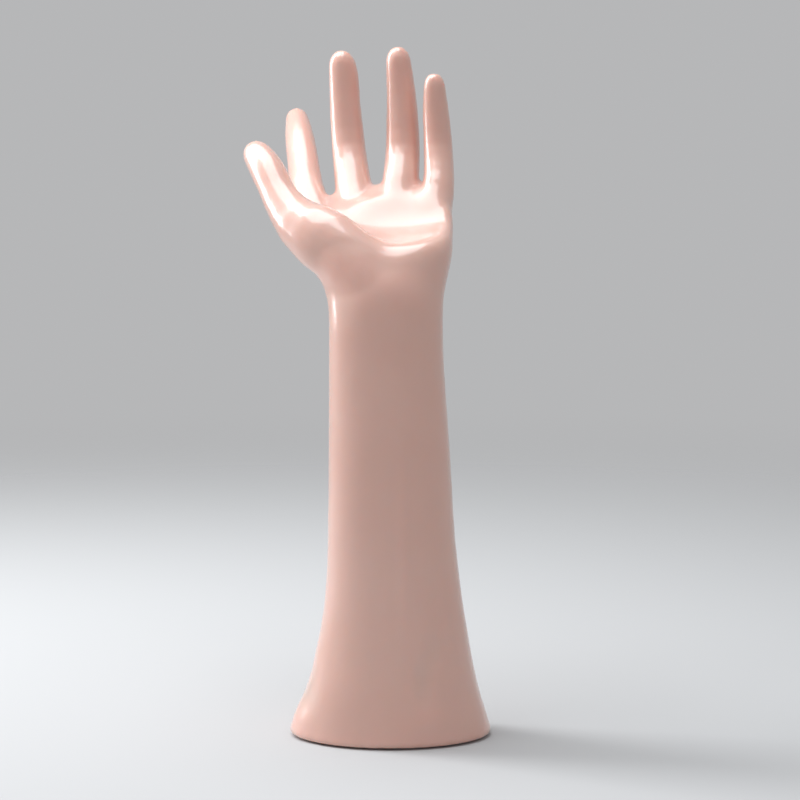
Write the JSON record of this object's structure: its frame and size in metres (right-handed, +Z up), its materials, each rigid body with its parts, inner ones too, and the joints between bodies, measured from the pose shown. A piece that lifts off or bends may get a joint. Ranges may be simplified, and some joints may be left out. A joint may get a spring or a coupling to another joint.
{
  "type": "mannequin display hand",
  "caption": "Rigid glossy left hand and forearm, palm forwards and fingers spread, standing on its flared oval base with a screwed cover and a soft foot pad.",
  "frame": {"origin": "middle of the flat underside of the foot pad, on the floor", "axes": "+Z up along the forearm to the fingertips, +X across the palm from the thumb to the little finger, -Y the way the palm faces"},
  "size_m": [0.1305, 0.1564, 0.3575],
  "materials": {
    "skin_plastic": "smooth glossy moulded skin, pale peach",
    "cover_plastic": "fine satin moulding, peach",
    "plywood": "sanded birch plywood",
    "ballast_steel": "cut steel plate, lightly oiled",
    "screw_zinc": "bright zinc plate",
    "pad_felt": "dense charcoal wool felt"
  },
  "bodies": {
    "root": {"hand_shell": "skin_plastic", "base_block": "plywood", "ballast_plate": "ballast_steel", "cover_plate": "cover_plastic", "foot_pad": "pad_felt", "cover_screw_1": "screw_zinc", "cover_screw_2": "screw_zinc", "cover_screw_3": "screw_zinc", "cover_screw_4": "screw_zinc", "ballast_screw_1": "screw_zinc", "ballast_screw_2": "screw_zinc"}
  },
  "joints": []
}
